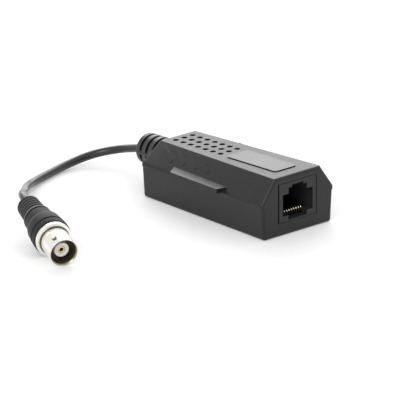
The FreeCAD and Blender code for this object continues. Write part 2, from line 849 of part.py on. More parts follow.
# Contacts: eight wires. Each comes up through the board, runs forward in the comb slot,
# turns over at the front and rises back into the mouth as a spring.
contact_low = number(f"{MOUTH_FLOOR} - comb_depth + contact_width")
contact_turn = number(f"{JACK_FRONT} - contact_inset")
contact_foot = number(f"{BOARD_TOP} - board_wall - pin_tail")
contact_tip = number(f"{JACK_FRONT} - mouth_depth + contact_reach")
contact_bend = number("contact_bend")
contact_step = number("contact_step")
contacts = []
pin_places = []
for index in range(CONTACTS):
    along = f"{JACK_REAR} + pin_row + {index % 2} * pin_row_pitch"
    aside = f"({index} - ({CONTACTS} - 1) / 2) * contact_pitch"
    pin_places.append((along, aside))
    side = number(aside)
    route = [
        Vector(number(along), side, contact_foot),
        Vector(number(along), side, contact_low),
        Vector(contact_turn, side, contact_low),
        Vector(contact_turn - contact_bend, side, contact_low + contact_step),
        Vector(contact_tip, side, contact_low + number("contact_rise")),
    ]
    wire = tube(wire_path(route, contact_bend), number("contact_width"))
    contacts.append(shaped(f"contact_{index}", wire))
jack_contacts = group("jack_contacts", contacts)

# Contact carrier: insulator moulded round the contacts, which closes the jack's rear.
carrier_block = block(
    "carrier_block",
    (f"{JACK_REAR} + fit_gap", "-mouth_width / 2 + fit_gap", BOARD_TOP),
    (
        "jack_depth - mouth_depth - fit_gap", "mouth_width - 2 * fit_gap",
        "mouth_floor + mouth_height - fit_gap",
    ),
)
contact_carrier = cut("contact_carrier", carrier_block, [jack_contacts])

# Circuit board: cut round the screw columns, drilled for the jack's pegs and pins.
BOARD_BOTTOM = f"{BOARD_TOP} - board_wall"
CUT_START = f"{BOARD_BOTTOM} - {OVERRUN}"
BOARD_CUT = f"board_wall + 2 * {OVERRUN}"
board_blank = block(
    "board_blank",
    (BOARD_REAR, "-base_width / 2 + wall + board_side_gap", BOARD_BOTTOM),
    (
        "housing_length - board_margin - wall - board_end_gap",
        "base_width - 2 * wall - 2 * board_side_gap", "board_wall",
    ),
)
board_cuts = [
    rod(f"board_notch_{index}", "Z", "boss_width + 2 * boss_clearance", BOARD_CUT, (across, aside, CUT_START))
    for index, (across, aside) in enumerate(BOSSES)
]
board_cuts += [
    rod(f"board_peg_hole_{index}", "Z", "peg_width + 2 * fit_gap", BOARD_CUT,
        (PEG_X, f"{sign}peg_spread", CUT_START))
    for index, sign in enumerate("+-")
]
board_cuts += [
    rod(f"board_pin_hole_{index}", "Z", "pin_hole", BOARD_CUT, (along, aside, CUT_START))
    for index, (along, aside) in enumerate(pin_places)
]
circuit_board = cut("circuit_board", board_blank, board_cuts)


# Parts on the board. Each stands on its top face, in the space behind the jack.
def on_board(name, along, aside, span):
    return block(name, (f"{along} - {span[0]} / 2", f"{aside} - {span[1]} / 2", BOARD_TOP), span)


def lead_rows(name, along, aside, side, pitch, width, reach):
    """Two rows of flat leads, which leave a package at its long sides."""
    leads = []
    for index in range(2 * ROW_LEADS):
        start = f"{aside} + {side} / 2" if index < ROW_LEADS else f"{aside} - {side} / 2 - {reach}"
        place = f"({index % ROW_LEADS} - ({ROW_LEADS} - 1) / 2) * {pitch}"
        leads.append(block(
            f"{name}_{index}", (f"{along} + {place} - {width} / 2", start, BOARD_TOP),
            (width, reach, "lead_thickness"),
        ))
    return group(name, leads)


TRANSFORMER_X = f"{JACK_REAR} - transformer_gap - transformer_length / 2"
transformer_block = on_board(
    "transformer_block", TRANSFORMER_X, "0",
    ("transformer_length", "transformer_width", "transformer_height"),
)
transformer_leads = lead_rows(
    "transformer_leads", TRANSFORMER_X, "0", "transformer_width", "lead_pitch", "lead_width",
    "lead_reach",
)
CHIP_X = f"{BOARD_REAR} + chip_margin"
line_chip = on_board("line_chip", CHIP_X, "-chip_aside", ("chip_side", "chip_side", "chip_height"))
chip_leads = lead_rows(
    "chip_leads", CHIP_X, "-chip_aside", "chip_side", "chip_pitch", "chip_lead_width", "chip_lead_reach",
)
crystal_can = on_board(
    "crystal_can", f"{BOARD_REAR} + crystal_margin", "crystal_aside",
    ("crystal_length", "crystal_width", "crystal_height"),
)
power_inductor = on_board(
    "power_inductor", f"{BOARD_REAR} + inductor_margin", "inductor_aside",
    ("inductor_side", "inductor_side", "inductor_height"),
)
filter_capacitors = group("filter_capacitors", [
    rod(f"capacitor_{index}", "Z", "capacitor_width", "capacitor_height",
        (f"{BOARD_REAR} + capacitor_margin + {index} * capacitor_pitch", "capacitor_aside", BOARD_TOP))
    for index in range(2)
])
surge_tube = rod(
    "surge_tube", "X", "surge_width", "surge_length",
    (f"{BOARD_REAR} + surge_margin", "-surge_aside", f"{BOARD_TOP} + surge_width / 2"),
)
chip_parts = group("chip_parts", [
    on_board(f"chip_part_{index}", f"{BOARD_REAR} + small_margin", f"(1 - {index}) * small_pitch",
             ("small_length", "small_width", "small_height"))
    for index in range(CHIP_PARTS)
])

# Choke: a ferrite ring stood on edge beside the cable, with seven turns of wire over its
# upper half. The end turns have legs down to the board.
CHOKE_X = f"{BOARD_REAR} + choke_margin"
CHOKE_HEIGHT = f"{BOARD_TOP} + choke_ring / 2 + choke_thickness / 2"
TURN_RADIUS = "choke_thickness / 2 + winding_width / 2 + fit_gap / 2"


def ring_at(name, axis, place, width, thickness):
    """A ring of round section, given its mean diameter and its thickness."""
    item = doc.addObject("Part::Torus", name)
    item.Placement = Placement(Vector(), Rotation(Vector(0, 0, 1), axis))
    bind(item, Placement__Base__x=place[0], Placement__Base__y=place[1], Placement__Base__z=place[2])
    return bind(item, Radius1=f"({width}) / 2", Radius2=f"({thickness}) / 2")


toroid_core = ring_at(
    "toroid_core", Vector(0, 1, 0), (CHOKE_X, "-choke_aside", CHOKE_HEIGHT), "choke_ring", "choke_thickness",
)
winding = []
for index in range(CHOKE_TURNS):
    degrees = 180 * index / (CHOKE_TURNS - 1)
    angle = math.radians(degrees)
    winding.append(ring_at(
        f"winding_turn_{index}", Vector(-math.sin(angle), 0, math.cos(angle)),
        (
            f"{CHOKE_X} + choke_ring / 2 * cos({degrees})", "-choke_aside",
            f"{CHOKE_HEIGHT} + choke_ring / 2 * sin({degrees})",
        ),
        f"2 * ({TURN_RADIUS})", "winding_width",
    ))
for index, sign in enumerate("+-"):
    leg = rod(
        f"winding_leg_{index}", "Z", "winding_width - fit_gap", f"{CHOKE_HEIGHT} - ({BOARD_TOP})",
        (f"{CHOKE_X} {sign} (choke_ring / 2 + {TURN_RADIUS})", "-choke_aside", BOARD_TOP),
    )
    winding[-index] = fuse(f"winding_end_{index}", [winding[-index], leg])
toroid_winding = group("toroid_winding", winding)

# Cable: inside the housing it runs through the gland to the board, where its core and
# its gathered braid are soldered down.
GLAND_FACE = f"{REAR} - gland_reach"
CABLE_END = f"{BOARD_REAR} - cable_bare"
cable_inner_end = rod(
    "cable_inner_end", "X", "cable_width - fit_gap", f"({CABLE_END}) - ({GLAND_FACE}) - flare_depth",
    (f"{GLAND_FACE} + flare_depth", "0", GLAND_HEIGHT),
)
cable_end = Vector(number(CABLE_END), 0, number(GLAND_HEIGHT))
to_board = Vector(0, 0, number(f"{BOARD_TOP} - ({GLAND_HEIGHT})"))
core_run = Vector(number("core_reach"), 0, 0)
core_lead = shaped("core_lead", tube(
    wire_path([cable_end, cable_end + core_run, cable_end + core_run + to_board], number("core_width")),
    number("core_width"),
))
braid_start = cable_end + Vector(number("braid_width / 2"), number("cable_width / 2"), 0)
braid_run = Vector(number("braid_reach"), number("braid_aside - cable_width / 2"), 0)
braid_lead = shaped("braid_lead", tube(
    wire_path(
        [braid_start, braid_start + braid_run, braid_start + braid_run + to_board], number("braid_width"),
    ),
    number("braid_width"),
))

# Coaxial connector: it lies on the floor on its widest ring and the rim of its barrel,
# so its tail points up at the cable. Its pieces are drawn along X from the tail.
COLLAR_END = "tail_length + collar_length"
GRIP_START = f"{COLLAR_END} + collar_gap"
SHOULDER = f"{GRIP_START} + grip_waist_length"
GRIP_FRONT = f"{GRIP_START} + grip_length"
RING_START = f"{GRIP_FRONT} - grip_ring_length"
MOUTH = f"{GRIP_FRONT} + flange_length + barrel_length"
STUB_START = f"{GRIP_FRONT} - stub_length"
connector_dip = math.degrees(math.atan2(
    number("(grip_ring - barrel_width) / 2"), number(f"{MOUTH} - ({GRIP_FRONT})"),
))
tail_height = (
    number("grip_ring / 2") * math.cos(math.radians(connector_dip))
    + number(GRIP_FRONT) * math.sin(math.radians(connector_dip))
)
CONNECTOR_TAIL = Vector(-27.2, -66.2, round(tail_height, 3))
connector_axis = Rotation(Vector(0, 0, 1), -number("connector_turn"))
connector_place = Placement(CONNECTOR_TAIL, connector_axis.multiply(Rotation(Vector(0, 1, 0), connector_dip)))


def tail_radius(along):
    return f"(tail_start + (tail_end - tail_start) * ({along}) / tail_length) / 2"


# Boot: its ribbed tail bends with the cable. Its grip starts at a collar, steps up at a
# shoulder and ends in a ring at the shell.
boot_outline = [("0", "cable_width / 2 + flare_width"), ("0", tail_radius("0"))]
for index in range(TAIL_SLITS):
    slit_start = f"tail_rib + {index} * (tail_rib + tail_slit)"
    slit_end = f"{slit_start} + tail_slit"
    boot_outline += [
        (slit_start, tail_radius(slit_start)), (slit_start, f"{tail_radius(slit_start)} - tail_groove"),
        (slit_end, f"{tail_radius(slit_end)} - tail_groove"), (slit_end, tail_radius(slit_end)),
    ]
boot_outline += [
    ("tail_length", tail_radius("tail_length")), ("tail_length", "collar_width / 2"),
    (COLLAR_END, "collar_width / 2"), (COLLAR_END, "grip_start / 2 - tail_groove"),
    (GRIP_START, "grip_start / 2 - tail_groove"), (GRIP_START, "grip_start / 2"),
    (SHOULDER, "grip_waist / 2"), (f"{SHOULDER} + shoulder_length", "shoulder_width / 2"),
    (f"{RING_START} - tail_slit", "grip_end / 2"),
    (f"{RING_START} - tail_slit", "grip_end / 2 - tail_groove"),
    (RING_START, "grip_end / 2 - tail_groove"), (RING_START, "grip_ring / 2"),
    (GRIP_FRONT, "grip_ring / 2"), (GRIP_FRONT, "stub_width / 2 + fit_gap"),
    (f"{STUB_START} - fit_gap", "stub_width / 2 + fit_gap"),
    (f"{STUB_START} - fit_gap", "ferrule_width / 2 + fit_gap"),
    ("tail_length", "ferrule_width / 2 + fit_gap"), ("tail_length", "cable_width / 2"),
    ("flare_depth", "cable_width / 2"),
]
connector_boot = turned("connector_boot", boot_outline)

# Plated shell: a stub held by the boot, a flange, and a barrel with two bayonet lugs.
shell_form = turned("shell_form", [
    (STUB_START, "cable_width / 2"), (STUB_START, "stub_width / 2"),
    (GRIP_FRONT, "stub_width / 2"), (GRIP_FRONT, "flange_width / 2"),
    (f"{GRIP_FRONT} + flange_length - flange_round", "flange_width / 2"),
    (f"{GRIP_FRONT} + flange_length", "flange_width / 2 - flange_round"),
    (f"{GRIP_FRONT} + flange_length", "barrel_width / 2"),
    (f"{MOUTH} - rim_round", "barrel_width / 2"), (MOUTH, "barrel_width / 2 - rim_round"),
    (MOUTH, "barrel_bore / 2 + bore_flare"), (f"{MOUTH} - bore_flare", "barrel_bore / 2"),
    (f"{GRIP_FRONT} + flange_length + barrel_floor", "barrel_bore / 2"),
    (f"{GRIP_FRONT} + flange_length + barrel_floor", "insulator_width / 2 + fit_gap"),
    (f"{STUB_START} + stub_wall", "insulator_width / 2 + fit_gap"),
    (f"{STUB_START} + stub_wall", "cable_width / 2"),
])
lugs = [
    rod(f"bayonet_lug_{index}", "Y", "lug_width", "(barrel_width - barrel_bore) / 4 + lug_reach", (
        f"{MOUTH} - lug_setback", start, "0",
    ))
    for index, start in enumerate([
        "(barrel_width + barrel_bore) / 4", "-barrel_width / 2 - lug_reach",
    ])
]
lug_pair = fuse("lug_pair", lugs)
lug_pair.Placement = Placement(Vector(), Rotation(Vector(1, 0, 0), number("lug_turn")))
connector_shell = fuse("connector_shell", [shell_form, lug_pair])
connector_insulator = turned("connector_insulator", [
    (f"{STUB_START} + stub_wall", "contact_pin_width / 2 + fit_gap"),
    (f"{MOUTH} - insulator_setback", "contact_pin_width / 2 + fit_gap"),
    (f"{MOUTH} - insulator_setback", "insulator_width / 2"),
    (f"{STUB_START} + stub_wall", "insulator_width / 2"),
])
PIN_TIP = f"{MOUTH} - insulator_setback - contact_pin_setback"
centre_contact = turned("centre_contact", [
    (f"{STUB_START} + stub_wall", "0"), (f"{PIN_TIP} - contact_pin_depth", "0"),
    (f"{PIN_TIP} - contact_pin_depth", "contact_pin_bore / 2"), (PIN_TIP, "contact_pin_bore / 2"),
    (PIN_TIP, "contact_pin_width / 2"), (f"{STUB_START} + stub_wall", "contact_pin_width / 2"),
])
crimp_ferrule = turned("crimp_ferrule", [
    ("tail_length", "cable_width / 2 + fit_gap"), (f"{STUB_START} - fit_gap", "cable_width / 2 + fit_gap"),
    (f"{STUB_START} - fit_gap", "ferrule_width / 2"), ("tail_length", "ferrule_width / 2"),
])
cable_plug_end = turned("cable_plug_end", [
    ("flare_depth", "0"), (f"{STUB_START} + stub_wall", "0"),
    (f"{STUB_START} + stub_wall", "cable_width / 2 - fit_gap / 2"),
    ("flare_depth", "cable_width / 2 - fit_gap / 2"),
])
for item in (
    connector_boot, connector_shell, connector_insulator, centre_contact, crimp_ferrule, cable_plug_end,
):
    item.Placement = connector_place

# Cord: the free stretch of cable from the gland's face to the connector's tail. Its
# points are chosen by hand, and it lies on the floor in the middle of its loop.
CORD_POINTS = [
    Vector(number(GLAND_FACE), 0, number(GLAND_HEIGHT)),
    Vector(-50.1, 0.4, 8.2),
    Vector(-59.4, 0.5, 5.6),
    Vector(-66.3, -5.6, 3.4),
    Vector(-67.5, -15.2, 1.8),
    Vector(-65.1, -25.8, 1.4),
    Vector(-60.3, -38.2, 1.9),
    Vector(-52.8, -46.4, 4),
    Vector(-42.7, -54.7, 7.5),
    Vector(-36.5, -61.9, 10.1),
    Vector(-31.7, -64.5, 10.4),
    CONNECTOR_TAIL,
]


BEND_SHARE = 0.45


def cord_path(points):
    """Straight runs joined by tangent arcs, which start at a set share of the shorter run."""
    parts = []
    radii = []
    start = points[0]
    for before, corner, after in zip(points, points[1:], points[2:]):
        reach = BEND_SHARE * min(before.distanceToPoint(corner), after.distanceToPoint(corner))
        leave, nearest, join, radius = bend_at(before, corner, after, reach)
        parts.append(Part.LineSegment(start, leave).toShape())
        parts.append(Part.Arc(leave, nearest, join).toShape())
        radii.append(round(radius, 1))
        start = join
    parts.append(Part.LineSegment(start, points[-1]).toShape())
    return Part.Wire(parts), radii


cord_line, cord_radii = cord_path(CORD_POINTS)
coax_cord = shaped("coax_cord", tube(cord_line, number("cable_width")))
plain_volume = cord_line.Length * math.pi * number("cable_width") ** 2 / 4
print("cord bends", cord_radii, "length", round(cord_line.Length, 1),
      "volume ratio", round(coax_cord.Shape.Volume / plain_volume, 4))

NODES = {
    "top_cover": top_cover,
    "base_shell": base_shell,
    "label_plate": label_plate,
    "strain_relief": strain_relief,
    "jack_housing": jack_housing,
    "contact_carrier": contact_carrier,
    "jack_contacts": jack_contacts,
    "circuit_board": circuit_board,
    "transformer_block": transformer_block,
    "transformer_leads": transformer_leads,
    "line_chip": line_chip,
    "chip_leads": chip_leads,
    "crystal_can": crystal_can,
    "power_inductor": power_inductor,
    "filter_capacitors": filter_capacitors,
    "surge_tube": surge_tube,
    "chip_parts": chip_parts,
    "toroid_core": toroid_core,
    "toroid_winding": toroid_winding,
    "case_screws": case_screws,
    "cable_inner_end": cable_inner_end,
    "core_lead": core_lead,
    "braid_lead": braid_lead,
    "coax_cord": coax_cord,
    "cable_plug_end": cable_plug_end,
    "connector_boot": connector_boot,
    "crimp_ferrule": crimp_ferrule,
    "connector_shell": connector_shell,
    "connector_insulator": connector_insulator,
    "centre_contact": centre_contact,
}

doc.recompute()
for item in doc.Objects:
    for state in ("Invalid", "Error"):
        if state in item.State:
            raise RuntimeError(f"{item.Name} is {state}")

os.makedirs("parts", exist_ok=True)
for name, item in NODES.items():
    item.Label = name
    shape = item.Shape
    if shape.isNull() or not shape.isValid() or not shape.Solids:
        raise RuntimeError(f"{name} has no sound solid")
    shape.exportStep(f"parts/{name}.step")
    print(name, len(shape.Solids), round(shape.Volume, 2))
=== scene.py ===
import json
import math

import bmesh
import bpy
import numpy as np
from mathutils import Matrix, Vector


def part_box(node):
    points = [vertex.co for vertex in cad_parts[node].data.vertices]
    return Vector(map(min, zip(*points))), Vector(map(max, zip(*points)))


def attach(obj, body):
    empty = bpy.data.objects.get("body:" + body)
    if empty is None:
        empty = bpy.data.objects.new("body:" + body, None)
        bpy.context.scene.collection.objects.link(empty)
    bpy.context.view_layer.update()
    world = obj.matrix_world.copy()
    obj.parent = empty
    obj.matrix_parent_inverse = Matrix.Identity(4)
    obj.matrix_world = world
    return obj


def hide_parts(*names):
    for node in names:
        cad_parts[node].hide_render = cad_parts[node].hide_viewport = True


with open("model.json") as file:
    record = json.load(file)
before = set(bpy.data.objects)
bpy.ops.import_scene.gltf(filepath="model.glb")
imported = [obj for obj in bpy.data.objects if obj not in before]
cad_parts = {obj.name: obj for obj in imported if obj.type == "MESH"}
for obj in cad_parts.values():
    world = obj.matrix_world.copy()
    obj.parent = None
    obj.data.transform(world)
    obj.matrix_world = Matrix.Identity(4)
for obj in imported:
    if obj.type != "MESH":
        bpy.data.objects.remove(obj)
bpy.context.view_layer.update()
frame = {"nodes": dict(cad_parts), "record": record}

# Camera: a long lens that looks down on the corner between the jack's end and the side
# with the docking tab. Its axes come from the edges of the housing in the photograph.
MM = 0.001
CAMERA_AIM = Vector((2.4, -18.2, 8.0)) * MM
CAMERA_RIGHT = Vector((0.6628, 0.7488, -0.0045)).normalized()
NEARLY_UP = Vector((-0.2497, 0.2205, 0.9429))
CAMERA_BACK = CAMERA_RIGHT.cross(NEARLY_UP).normalized()
CAMERA_UP = CAMERA_BACK.cross(CAMERA_RIGHT)
PIXELS_PER_METRE = 3075.0
FOCAL_PIXELS = 6000.0
PHOTO_PIXELS = 400
SENSOR_WIDTH = 36.0
NEAREST_SEEN = 0.05
FARTHEST_SEEN = 20.0

camera_data = bpy.data.cameras.new("camera")
camera_data.sensor_width = SENSOR_WIDTH
camera_data.lens = SENSOR_WIDTH * FOCAL_PIXELS / PHOTO_PIXELS
camera_data.clip_start = NEAREST_SEEN
camera_data.clip_end = FARTHEST_SEEN
camera = bpy.data.objects.new("camera", camera_data)
bpy.context.scene.collection.objects.link(camera)
camera.matrix_world = Matrix.Translation(
    CAMERA_AIM + CAMERA_BACK * FOCAL_PIXELS / PIXELS_PER_METRE
) @ Matrix((CAMERA_RIGHT, CAMERA_UP, CAMERA_BACK)).transposed().to_4x4()
bpy.context.scene.camera = camera


# Coaxial cord: a thin black cable with a smooth PVC jacket. It leaves the gland, bends
# low round its loop and rises to the connector's tail.
class Value:
    """A shader socket that takes part in plain arithmetic; each operation adds a node."""

    def __init__(self, finish, socket):
        self.finish = finish
        self.socket = socket

    def maths(self, operation, first, second):
        """One Math node on two sockets or numbers."""
        return self.finish.node("ShaderNodeMath", {0: first, 1: second}, operation=operation)

    def __add__(self, other):
        return self.maths("ADD", self, other)

    def __sub__(self, other):
        return self.maths("SUBTRACT", self, other)

    def __rsub__(self, other):
        return self.maths("SUBTRACT", other, self)

    def __mul__(self, other):
        return self.maths("MULTIPLY", self, other)

    __radd__ = __add__
    __rmul__ = __mul__


class Finish:
    """A material, or the surround, being built from nodes."""

    def __init__(self, owner):
        self.owner = bpy.data.materials.new(owner) if isinstance(owner, str) else owner
        self.owner.use_nodes = True
        self.tree = self.owner.node_tree
        self.tree.nodes.clear()

    def node(self, kind, inputs=None, output=0, **settings):
        """Adds a node: its settings first, then the values or links of its sockets."""
        made = self.tree.nodes.new(kind)
        for word, value in settings.items():
            setattr(made, word, value)
        for key, value in (inputs or {}).items():
            if isinstance(value, Value):
                self.tree.links.new(value.socket, made.inputs[key])
            else:
                made.inputs[key].default_value = value
        return Value(self, made.outputs[output]) if made.outputs else None

    def place(self):
        """Object coordinates, in metres."""
        return self.node("ShaderNodeTexCoord", output="Object")

    def noise(self, size, detail, roughness=0.5):
        """Noise whose patches are about a size across, in metres."""
        return self.node("ShaderNodeTexNoise", {
            "Vector": self.place(), "Scale": 1.0 / size, "Detail": detail, "Roughness": roughness,
        })

    def between(self, factor, low, high):
        """A colour or a number: low plus the factor times the way from low to high."""
        if not isinstance(high, tuple):
            return factor * (high - low) + low
        first = low if isinstance(low, Value) else (*low, 1.0)
        return self.node(
            "ShaderNodeMix", {0: factor, 6: first, 7: (*high, 1.0)}, output=2, data_type="RGBA",
        )

    def soft_edges(self, radius):
        """Normals rounded over the edges within a radius, in metres."""
        return self.node("ShaderNodeBevel", {"Radius": radius}, samples=6)

    def bump(self, height, distance, normal=None):
        """Normals tilted by a height field of a given depth, in metres."""
        inputs = {"Height": height, "Distance": distance}
        if normal:
            inputs["Normal"] = normal
        return self.node("ShaderNodeBump", inputs)

    def surface(self, **sockets):
        """Ends the material in a Principled shader; an underscore stands for a space."""
        inputs = {word.replace("_", " "): value for word, value in sockets.items()}
        shader = self.node("ShaderNodeBsdfPrincipled", inputs)
        self.node("ShaderNodeOutputMaterial", {"Surface": shader})
        return self.owner

    def seen(self):
        """1 for what the eye, a mirror or glass sees, and 0 for what only lights the part."""
        camera_ray, glossy_ray, glass_ray = [
            self.node("ShaderNodeLightPath", output=kind)
            for kind in ("Is Camera Ray", "Is Glossy Ray", "Is Transmission Ray")
        ]
        either = camera_ray + glossy_ray + glass_ray
        return self.node("ShaderNodeMath", {0: either, 1: 1.0}, operation="MINIMUM")


PATCH_SIZE = 6 * MM
SHADE_BY_PATCH = 0.6
GLOSS_BY_PATCH = 0.7
GLOSS_SPREAD = 0.06
DUST = 0.002


def moulded(
    name, color, rough, grain, depth, mottle=0.15, edge=0.0, painted_light=None, painted_light_color=None, **more,
):
    """Moulded plastic or rubber: fine sparked grain, faint patches of gloss, soft edges.

    The colour runs from a share, mottle, under to one over plus a trace of dust, as patches
    and grain add up. Where light is painted on, from 0 to 1, it shows the painted light colour.
    """
    finish = Finish(name)
    patches = finish.noise(PATCH_SIZE, detail=2.0)
    fine = finish.noise(grain, detail=2.0, roughness=0.6)
    light = tuple(min(1.0, channel * (1 + mottle) + DUST) for channel in color)
    dark = tuple(channel * (1 - mottle) for channel in color)
    soft = finish.soft_edges(edge) if edge else None
    tone = patches * SHADE_BY_PATCH + fine * (1 - SHADE_BY_PATCH)
    shade = finish.between(tone, dark, light)
    if painted_light:
        shade = finish.between(painted_light(finish), shade, painted_light_color)
    gloss = patches * GLOSS_BY_PATCH + fine * (1 - GLOSS_BY_PATCH)
    return finish.surface(
        Base_Color=shade,
        Roughness=finish.between(gloss, rough - GLOSS_SPREAD, rough + GLOSS_SPREAD),
        Normal=finish.bump(fine, depth, soft),
        **more,
    )


def coat(piece, material):
    """Gives a piece its material."""
    piece.data.materials.clear()
    piece.data.materials.append(material)


def show(piece, material):
    """Coats a new piece and lets it ride on the part's one body."""
    coat(piece, material)
    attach(piece, "root")


CORD_WIDTH = 2.8 * MM
CORD_ROUTE = [
    (-44.55, 0, 9.897),
    (-50.1, 0.4, 8.2),
    (-59.4, 0.5, 5.6),
    (-66.3, -5.6, 3.4),
    (-67.5, -15.2, 1.8),
    (-65.1, -25.8, 1.4),
    (-60.3, -38.2, 1.9),
    (-52.8, -46.4, 4.0),
    (-42.5, -54.4, 7.7),
    (-36.4, -61.2, 10.4),
    (-31.4, -64.3, 10.8),
    (-27.2, -66.2, 9.662),
]
cord_curve = bpy.data.curves.new("coax_cord_skin", "CURVE")
cord_curve.dimensions = "3D"
cord_curve.bevel_depth = CORD_WIDTH / 2
cord_curve.bevel_resolution = 6
cord_curve.resolution_u = 16
cord_curve.use_fill_caps = True
spline = cord_curve.splines.new("NURBS")
spline.points.add(len(CORD_ROUTE) - 1)
for point, place in zip(spline.points, CORD_ROUTE):
    point.co = (*(Vector(place) * MM), 1.0)
spline.order_u = 3
spline.use_endpoint_u = True
cord = bpy.data.objects.new("coax_cord_skin", cord_curve)
bpy.context.scene.collection.objects.link(cord)
cord_jacket = moulded(
    "cable_jacket", (0.014, 0.014, 0.016), rough=0.25, grain=0.5 * MM, depth=0.004 * MM,
    Specular_IOR_Level=0.5,
)
show(cord, cord_jacket)
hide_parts("coax_cord")

# Gland: a moulded rubber strain relief, held by its flange inside the rear wall. Its five
# ribs taper away from the wall, the grooves between them stop at a web on each side, and
# its end is dished round the cable.
MERGE_WITHIN = 1e-7
SHARP_FROM = math.radians(38)


def grid_piece(name, points):
    """A smooth closed surface through one grid of points, or through several like grids.

    Each grid has rows along the piece and columns round it: a face joins a point, the next
    one round, and the two after them in the next row. Points that meet become one.
    """
    grids = points if points.ndim == 4 else points[None]
    copies, rows, columns = grids.shape[:3]
    copy, row, column = np.meshgrid(
        np.arange(copies), np.arange(rows - 1), np.arange(columns), indexing="ij",
    )
    this_row = (copy * rows + row) * columns
    next_row = this_row + columns
    after = (column + 1) % columns
    faces = np.stack(
        [this_row + column, this_row + after, next_row + after, next_row + column], axis=-1,
    ).reshape(-1, 4)
    mesh = bpy.data.meshes.new(name)
    mesh.from_pydata(points.reshape(-1, 3).tolist(), [], faces.tolist())
    built = bmesh.new()
    built.from_mesh(mesh)
    bmesh.ops.remove_doubles(built, verts=built.verts, dist=MERGE_WITHIN)
    bmesh.ops.recalc_face_normals(built, faces=built.faces)
    built.to_mesh(mesh)
    built.free()
    mesh.shade_smooth()
    mesh.set_sharp_from_angle(angle=SHARP_FROM)
    piece = bpy.data.objects.new(name, mesh)
    bpy.context.scene.collection.objects.link(piece)
    return piece


def turned_surface(along, radius, sides):
    """Points round the X axis: the length, the radius times the angle's cosine, and its sine."""
    angle = np.linspace(0, 2 * np.pi, sides, endpoint=False)
    radius = np.broadcast_to(np.asarray(radius).reshape(len(along), -1), (len(along), sides))
    return np.stack([
        np.broadcast_to(np.asarray(along)[:, None], radius.shape),
        radius * np.cos(angle), radius * np.sin(angle),
    ], axis=-1)


LONGEST_ROUNDING = 0.49


def rounded_line(corners, steps=4):
    """An outline through corners of (along, radius, rounding).

    A corner with a rounding becomes a curve from a point that far back to one that far
    ahead, at most nearly half a side away. With the share of the way gone and the rest of
    it, the start counts by the rest squared, the corner by twice share times rest, and the
    end by the share squared.
    """
    points = np.array([corner[:2] for corner in corners], float)
    rounding = [corner[2] if len(corner) > 2 else 0.0 for corner in corners]
    line = []
    for index, (point, size) in enumerate(zip(points, rounding)):
        if not size or index in (0, len(points) - 1):
            line.append(point)
            continue
        back = points[index - 1] - point
        ahead = points[index + 1] - point
        size = min(size, LONGEST_ROUNDING * min(np.hypot(*back), np.hypot(*ahead)))
        start = point + back / np.hypot(*back) * size
        end = point + ahead / np.hypot(*ahead) * size
        share = np.linspace(0, 1, steps + 1)[:, None]
        rest = 1 - share
        line.extend(rest ** 2 * start + 2 * share * rest * point + share ** 2 * end)
    return np.array(line)


CABLE_HOLE = 1.45
GLAND_IN_WALL = 1.5
GLAND_RIB = 2.0
GLAND_GROOVE = 1.0
GLAND_GROOVES = 4
FIRST_RIB = 2.2
RIBS_START = (2.7, 5.68)
RIBS_END = (15.3, 5.23)
GLAND_LINE = [
    (-GLAND_IN_WALL, CABLE_HOLE), (-GLAND_IN_WALL, 6.4, 0.2), (-0.1, 6.4, 0.2), (-0.1, 5.7, 0.1),
    (1.4, 5.7, 0.1), (1.4, 4.6, 0.1), (FIRST_RIB, 4.6, 0.1), (FIRST_RIB, 5.7, 0.35),
    RIBS_START, RIBS_END, (16.2, 5.2, 0.7), (16.2, 2.3, 0.25), (15.4, CABLE_HOLE),
    (-GLAND_IN_WALL, CABLE_HOLE),
]
GLAND_ROWS = 320
GLAND_SIDES = 144
GROOVE_BOTTOM = 4.1
GROOVE_EDGE = 0.13
RIB_SKIN = 4.9
RIB_RADIUS = 5.5
WEB_WIDTH = 1.5
WEB_EDGE = 0.22


def soft_step(value, width):
    """Rises from 0 to 1 as a value goes from minus a width to plus it.

    With the share of the way gone, it is three times its square less twice its cube.
    """
    share = np.clip(value / width / 2 + 0.5, 0, 1)
    return share * share * (3 - 2 * share)


gland_low, gland_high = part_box("strain_relief")
wall_face = gland_high.x - GLAND_IN_WALL * MM
gland_height = (gland_low.z + gland_high.z) / 2

# The outline is drawn outwards from the wall, and its ribbed side is cut into fine rows.
# There the radius falls by the way down to the groove's bottom, times a soft step along
# the piece and one round it, which is 0 at the webs.
gland_line = rounded_line(GLAND_LINE)
ribbed_from = int(np.argmin(np.hypot(*(gland_line - RIBS_START).T)))
run = np.linspace(0, 1, GLAND_ROWS)[1:-1, None]
ribbed_side = gland_line[ribbed_from] * (1 - run) + gland_line[ribbed_from + 1] * run
gland_line = np.vstack([
    gland_line[:ribbed_from + 1], ribbed_side, gland_line[ribbed_from + 1:],
])
groove = np.zeros(len(gland_line))
for index in range(GLAND_GROOVES):
    middle = FIRST_RIB + GLAND_RIB + GLAND_GROOVE / 2 + index * (GLAND_RIB + GLAND_GROOVE)
    groove += soft_step(GLAND_GROOVE / 2 - np.abs(gland_line[:, 0] - middle), GROOVE_EDGE)
angle = np.linspace(0, 2 * np.pi, GLAND_SIDES, endpoint=False)
open_arc = soft_step(np.abs(np.sin(angle)) * RIB_RADIUS - WEB_WIDTH / 2, WEB_EDGE)
on_side = gland_line[:, 1] > RIB_SKIN
depth = np.where(on_side, gland_line[:, 1] - GROOVE_BOTTOM, 0) * groove
gland_radius = gland_line[:, 1][:, None] - depth[:, None] * open_arc[None, :]
gland_points = turned_surface(gland_line[:, 0], gland_radius, GLAND_SIDES)
gland_points = gland_points * [-1, 1, 1] * MM + [wall_face, 0, gland_height]
gland = grid_piece("gland", gland_points)
gland_rubber = moulded(
    "gland_rubber", (0.011, 0.011, 0.012), rough=0.35, grain=0.35 * MM, depth=0.01 * MM,
    Specular_IOR_Level=0.68,
)
show(gland, gland_rubber)
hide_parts("strain_relief")
